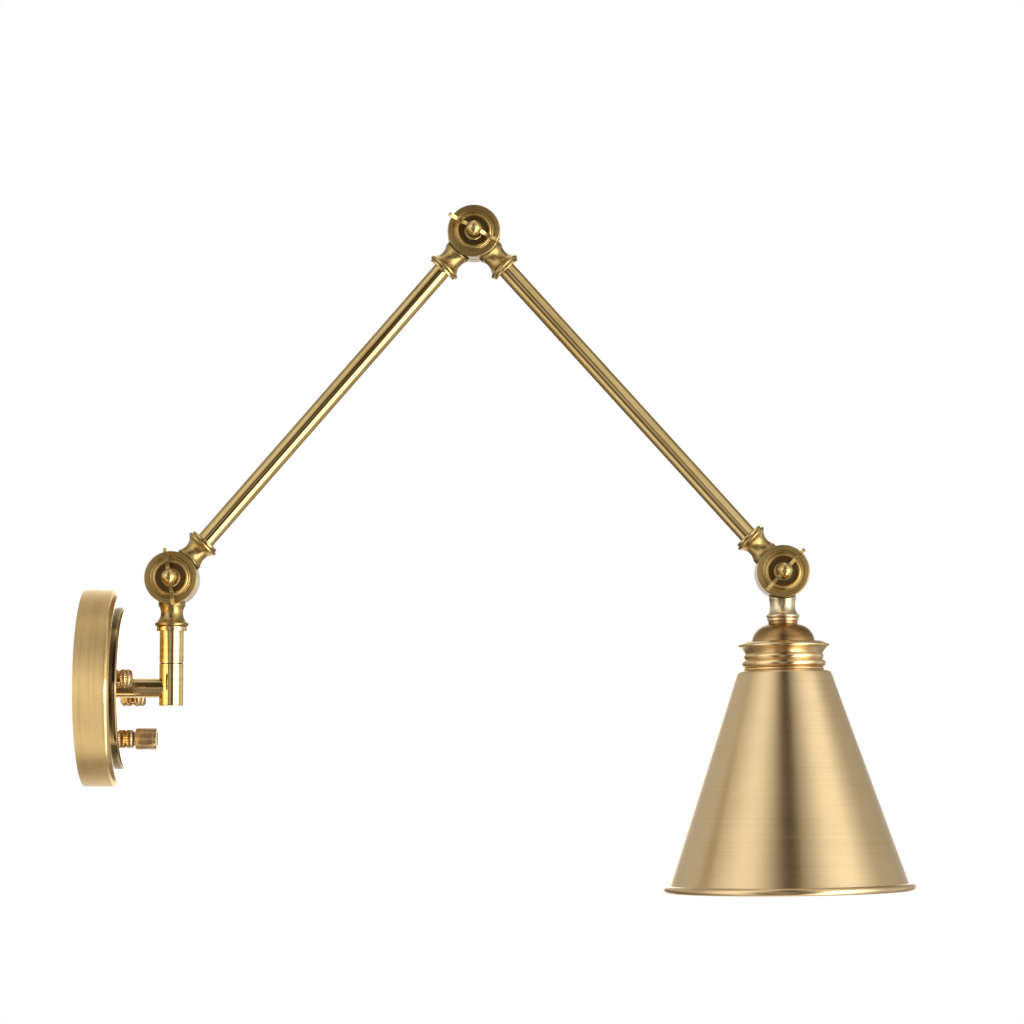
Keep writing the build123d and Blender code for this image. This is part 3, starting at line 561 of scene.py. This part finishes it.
def knuckle_brass(name, pivot, arm_way, light, dark):
    """Brass turned round the pin on the disc, and round the arm on the neck."""
    material, tree, shader = new_surface(name, metallic=1.0, roughness=knuckle_roughness)
    disc_grain, disc_tangent, from_pin = turned_grain(tree, pivot, pin_way, knuckle_pitch)[:3]
    neck_grain, neck_tangent = turned_grain(tree, pivot, arm_way, knuckle_pitch)[:2]
    on_neck = add_node(tree, "Math", {0: from_pin, 1: disc_radius}, operation="GREATER_THAN")
    grain = add_node(
        tree, "Mix", {0: on_neck.outputs[0], 4: disc_grain, 5: neck_grain}, data_type="VECTOR"
    )
    tangent = add_node(
        tree, "Mix", {0: on_neck.outputs[0], 4: disc_tangent, 5: neck_tangent}, data_type="VECTOR"
    )
    tone = finish_brass(
        tree, shader, grain.outputs[1], tangent.outputs[1], light, dark,
        groove=0.03, brushed=0.4, roughness=knuckle_roughness,
    )
    # Painted shade and dark wash in the hollows of disc and neck, by distance from the pin.
    wash_and_painted_shade(tree, shader, tone, from_pin, neck_reach, disc_wash_and_shade)
    return material


knuckle_halves = (
    ("lower_knuckle_front", lower_pivot, upwards, knuckle_light, knuckle_dark),
    ("lower_knuckle_rear", lower_pivot, lower_arm_way, knuckle_light, knuckle_dark),
    ("middle_knuckle_rear", middle_pivot, lower_arm_way, knuckle_light, knuckle_dark),
    ("middle_knuckle_front", middle_pivot, upper_arm_way, knuckle_light, knuckle_dark),
    ("end_knuckle_front", end_pivot, upper_arm_way, knuckle_light, knuckle_dark),
    ("end_knuckle_rear", end_pivot, head_way, pale_light, pale_dark),
)
for half, pivot, neck_way, light, dark in knuckle_halves:
    dress(knuckle_brass(f"{half}_brass", pivot, neck_way, light, dark), half)

arms = (
    ("lower", lower_pivot, lower_arm_way, ("lower_arm_foot_collar", "lower_arm_top_collar")),
    ("upper", middle_pivot, upper_arm_way, ("upper_arm_top_collar", "upper_arm_end_collar")),
)
for arm, foot, way, collars in arms:
    tube_brass = drawn_brass(
        f"{arm}_drawn_brass", foot, way, olive_light, olive_dark, groove=0.05, roughness=0.08
    )
    dress(tube_brass, f"{arm}_arm_tube")
    collar_brass = turned_brass(
        f"{arm}_collar_brass", foot, way, olive_light, olive_dark,
        groove=0.05, brushed=0.3, roughness=0.16,
    )
    dress(collar_brass, *collars)

# ---------------------------------------------------------------- wing screws
# Cast brass screws with a domed hub and two swept wings, on a bevelled cup washer.
# Each one pinches its knuckle, so that the arm stays where it is put.

for knuckle, pivot in (("lower", lower_pivot), ("middle", middle_pivot), ("end", end_pivot)):
    screw_brass = turned_brass(
        f"{knuckle}_wing_screw_brass", pivot, pin_way, knuckle_light, knuckle_dark,
        groove=0.05, brushed=0.2, roughness=0.26,
    )
    dress(screw_brass, f"{knuckle}_wing_screw", f"{knuckle}_cup_washer")

# ---------------------------------------------------------------- domed cap, fitter and shade
# A dark bronzed cap over a spun gallery, and under them the cone shade, spun from one
# sheet and brushed round and round, with its rim rolled over a wire.

satin_light = (0.77, 0.58, 0.32)
satin_dark = (0.70, 0.515, 0.275)
bronze_light = (0.40, 0.235, 0.09)
bronze_dark = (0.26, 0.145, 0.042)


def face_straight_out(material, centre, axis):
    """Turns a spun piece's shading straight out from its axis, so that it shows no seam."""
    tree = material.node_tree
    relief = tree.nodes["Principled BSDF"].inputs["Normal"].links[0].from_node
    place = add_node(tree, "TexCoord")
    offset = add_node(
        tree, "VectorMath", {0: place.outputs["Object"], 1: centre}, operation="SUBTRACT"
    )
    around = add_node(
        tree, "VectorMath", {0: axis, 1: offset.outputs[0]}, operation="CROSS_PRODUCT"
    )
    outward = add_node(
        tree, "VectorMath", {0: around.outputs[0], 1: axis}, operation="CROSS_PRODUCT"
    )
    out = add_node(tree, "VectorMath", {0: outward.outputs[0]}, operation="NORMALIZE")
    meshed = place.outputs["Normal"]
    along = add_node(tree, "VectorMath", {0: meshed, 1: axis}, operation="DOT_PRODUCT")
    across = add_node(tree, "VectorMath", {0: meshed, 1: out.outputs[0]}, operation="DOT_PRODUCT")
    side = add_node(tree, "Math", {0: across.outputs["Value"]}, operation="SIGN")
    square = add_node(
        tree, "Math", {0: along.outputs["Value"], 1: along.outputs["Value"]}, operation="MULTIPLY"
    )
    rest = add_node(tree, "Math", {0: 1.0, 1: square.outputs[0]}, operation="SUBTRACT")
    root = add_node(tree, "Math", {0: rest.outputs[0], 1: 0.5}, operation="POWER")
    reach = add_node(tree, "Math", {0: side.outputs[0], 1: root.outputs[0]}, operation="MULTIPLY")
    sideways = add_node(
        tree, "VectorMath", {0: out.outputs[0], "Scale": reach.outputs[0]}, operation="SCALE"
    )
    lengthways = add_node(
        tree, "VectorMath", {0: axis, "Scale": along.outputs["Value"]}, operation="SCALE"
    )
    straight = add_node(
        tree, "VectorMath", {0: sideways.outputs[0], 1: lengthways.outputs[0]}, operation="ADD"
    )
    facing = add_node(
        tree,
        "VectorTransform",
        {"Vector": straight.outputs[0]},
        vector_type="NORMAL",
        convert_from="OBJECT",
        convert_to="WORLD",
    )
    tree.links.new(facing.outputs[0], relief.inputs["Normal"])


shade_brass = turned_brass(
    "shade_brushed_brass", end_pivot, head_way, satin_light, satin_dark,
    groove=0.03, brushed=0.85, roughness=0.31, pitch=0.0012,
)
face_straight_out(shade_brass, end_pivot, head_way)
dress(shade_brass, "shade")
fitter_light = (0.80, 0.59, 0.31)
fitter_dark = (0.62, 0.43, 0.20)
fitter_brass = turned_brass(
    "fitter_satin_brass", end_pivot, head_way, fitter_light, fitter_dark,
    groove=0.3, brushed=0.7, roughness=0.24,
)
face_straight_out(fitter_brass, end_pivot, head_way)
dress(fitter_brass, "shade_fitter", "head_collar")
dome_bronze = turned_brass(
    "dome_dark_bronze", end_pivot, head_way, bronze_light, bronze_dark,
    groove=0.1, brushed=0.2, roughness=0.3,
)
dress(dome_bronze, "dome_cap")

# ---------------------------------------------------------------- lamp holder
# A black phenolic holder inside the gallery. A porcelain disc carries its brass screw
# shell and spring contact, and a threaded ring on its skirt clamps the shade.

dress(phenolic, "holder_body", "shade_ring")
porcelain = moulded(
    "unglazed_porcelain", colour=(0.80, 0.78, 0.72), speckle=(0.88, 0.86, 0.81), roughness=0.5
)
dress(porcelain, "contact_carrier")
shell_brass = turned_brass(
    "shell_bright_brass", end_pivot, head_way, contact_light, contact_dark,
    groove=0.3, brushed=0.3, roughness=0.25,
)
dress(shell_brass, "screw_shell", "centre_contact")

# ---------------------------------------------------------------- studio
# A pale floor well below the lamp, soft boxes and bright strips either side of the camera
# with a dark gap between them, a bright top and a white backdrop, and the camera.

lamp_middle = 0.25
floor_drop = 0.62
floor_reach = 3.0
floor_mesh = bmesh.new()
bmesh.ops.create_grid(
    floor_mesh,
    x_segments=2,
    y_segments=2,
    size=floor_reach,
    matrix=Matrix.Translation((lamp_middle, 0, -floor_drop)),
)
floor_data = bpy.data.meshes.new("floor")
floor_mesh.to_mesh(floor_data)
floor_mesh.free()
floor = bpy.data.objects.new("floor", floor_data)
bpy.context.scene.collection.objects.link(floor)
floor_paint, tree, shader = new_surface("pale_floor", metallic=0.0, roughness=0.8)
shader.inputs["Base Color"].default_value = (0.86, 0.86, 0.86, 1.0)
seen = add_node(tree, "LightPath")
glow = add_node(
    tree, "MapRange", {"Value": seen.outputs["Is Camera Ray"], "To Min": 0.0, "To Max": 0.45}
)
shader.inputs["Emission Color"].default_value = (1.0, 1.0, 1.0, 1.0)
tree.links.new(glow.outputs[0], shader.inputs["Emission Strength"])
clear = add_node(tree, "BsdfTransparent")
sheet = add_node(
    tree,
    "MixShader",
    {0: seen.outputs["Is Glossy Ray"], 1: shader.outputs[0], 2: clear.outputs[0]},
)
tree.links.new(sheet.outputs[0], tree.nodes["Material Output"].inputs["Surface"])
floor_data.materials.append(floor_paint)

world = bpy.data.worlds.new("studio")
bpy.context.scene.world = world
world.use_nodes = True
tree = world.node_tree
tree.nodes.clear()
way = add_node(tree, "TexCoord").outputs["Generated"]
parts = add_node(tree, "SeparateXYZ", {"Vector": way})
towards_camera = add_node(tree, "Math", {0: parts.outputs["Y"], 1: -1.0}, operation="MULTIPLY")
azimuth = add_node(
    tree, "Math", {0: parts.outputs["X"], 1: towards_camera.outputs[0]}, operation="ARCTAN2"
)
round_turn = add_node(
    tree, "MapRange", {"Value": azimuth.outputs[0], "From Min": -pi, "From Max": pi}
)
upper_levels = [
    (-180, 1.50),
    (-166, 1.40),
    (-158, 0.40),
    (-134, 0.45),
    (-112, 0.52),
    (-96, 0.56),
    (-80, 0.72),
    (-60, 1.15),
    (-44, 1.15),
    (-30, 0.72),
    (-19, 0.30),
    (-12, 0.08),
    (-6, 0.03),
    (-1, 0.03),
    (4, 0.12),
    (11, 0.46),
    (24, 0.70),
    (44, 0.92),
    (66, 1.02),
    (82, 0.66),
    (98, 0.44),
    (114, 0.36),
    (134, 0.30),
    (158, 0.35),
    (166, 1.40),
    (180, 1.50),
]
lower_levels = [
    (-180, 1.50),
    (-166, 1.40),
    (-158, 0.20),
    (-142, 0.20),
    (-110, 0.35),
    (-84, 0.70),
    (-70, 1.30),
    (-52, 1.20),
    (-40, 0.50),
    (-31, 0.10),
    (-22, 0.30),
    (-12, 0.50),
    (0, 0.30),
    (7, 0.10),
    (12, 0.05),
    (18, 0.08),
    (24, 0.80),
    (30, 3.40),
    (38, 4.60),
    (58, 4.60),
    (72, 1.80),
    (90, 0.60),
    (116, 0.75),
    (134, 0.40),
    (158, 0.40),
    (166, 1.40),
    (180, 1.50),
]
brightest = 4.6
bands = []
for levels in (upper_levels, lower_levels):
    band = add_node(tree, "ValToRGB", {"Fac": round_turn.outputs[0]})
    set_ramp(band, [((angle + 180) / 360, level / brightest) for angle, level in levels])
    bands.append(band.outputs["Color"])
height = add_node(
    tree, "MapRange", {"Value": parts.outputs["Z"], "From Min": -1.0, "From Max": 1.0}
)
low_half = add_node(
    tree, "MapRange", {"Value": parts.outputs["Z"], "From Min": 0.14, "From Max": 0.04}
)
sides = add_node(
    tree, "Mix", {0: low_half.outputs[0], 2: bands[0], 3: bands[1]}, data_type="FLOAT"
)
rise = add_node(tree, "ValToRGB", {"Fac": height.outputs[0]})
rise_levels = [
    (-90, 0.85),
    (-16, 0.88),
    (-9, 1.0),
    (-3, 1.45),
    (20, 1.45),
    (32, 0.92),
    (60, 0.85),
    (80, 1.2),
    (90, 1.2),
]
set_ramp(
    rise, [((sin(radians(angle)) + 1) / 2, level / brightest) for angle, level in rise_levels]
)
both = add_node(
    tree, "Math", {0: sides.outputs[0], 1: rise.outputs["Color"]}, operation="MULTIPLY"
)
# Each of the two ramps holds its levels as shares of the brightest.
level = add_node(tree, "Math", {0: both.outputs[0], 1: brightest**2}, operation="MULTIPLY")
tint = add_node(tree, "ValToRGB", {"Fac": level.outputs[0]})
set_ramp(tint, [(0.05, (1.0, 0.76, 0.52)), (0.55, (1.0, 1.0, 1.0))])
soft_boxes = add_node(
    tree, "Background", {"Color": tint.outputs["Color"], "Strength": level.outputs[0]}
)
backdrop = add_node(tree, "Background", {"Color": (1, 1, 1, 1), "Strength": 1.0})
ray = add_node(tree, "LightPath")
pick = add_node(
    tree,
    "MixShader",
    {0: ray.outputs["Is Camera Ray"], 1: soft_boxes.outputs[0], 2: backdrop.outputs[0]},
)
add_node(tree, "OutputWorld", {"Surface": pick.outputs[0]})

key = bpy.data.lights.new("key_soft_box", "AREA")
key.shape = "RECTANGLE"
key.size = 1.2
key.size_y = key.size
key.energy = 12.0
key_lamp = bpy.data.objects.new("key_soft_box", key)
key_lamp.location = (-0.6, -1.0, 1.8)
key_aim = Vector((lamp_middle, 0, 0)) - key_lamp.location
key_lamp.rotation_euler = key_aim.to_track_quat("-Z", "Y").to_euler()
key_lamp.visible_glossy = False
bpy.context.scene.collection.objects.link(key_lamp)

camera_rise = radians(3.81)
camera_turn = radians(-0.774)
camera_data = bpy.data.cameras.new("camera")
camera_data.sensor_width = 36.0
camera_data.lens = 97.72
camera_data.shift_y = 0.0809
camera_data.clip_end = 20.0
camera = bpy.data.objects.new("camera", camera_data)
camera.location = (0.237, -1.7, -0.056)
camera.rotation_euler = (pi / 2 + camera_rise, 0, camera_turn)
bpy.context.scene.collection.objects.link(camera)
bpy.context.scene.camera = camera
bpy.context.scene.view_settings.view_transform = "Standard"
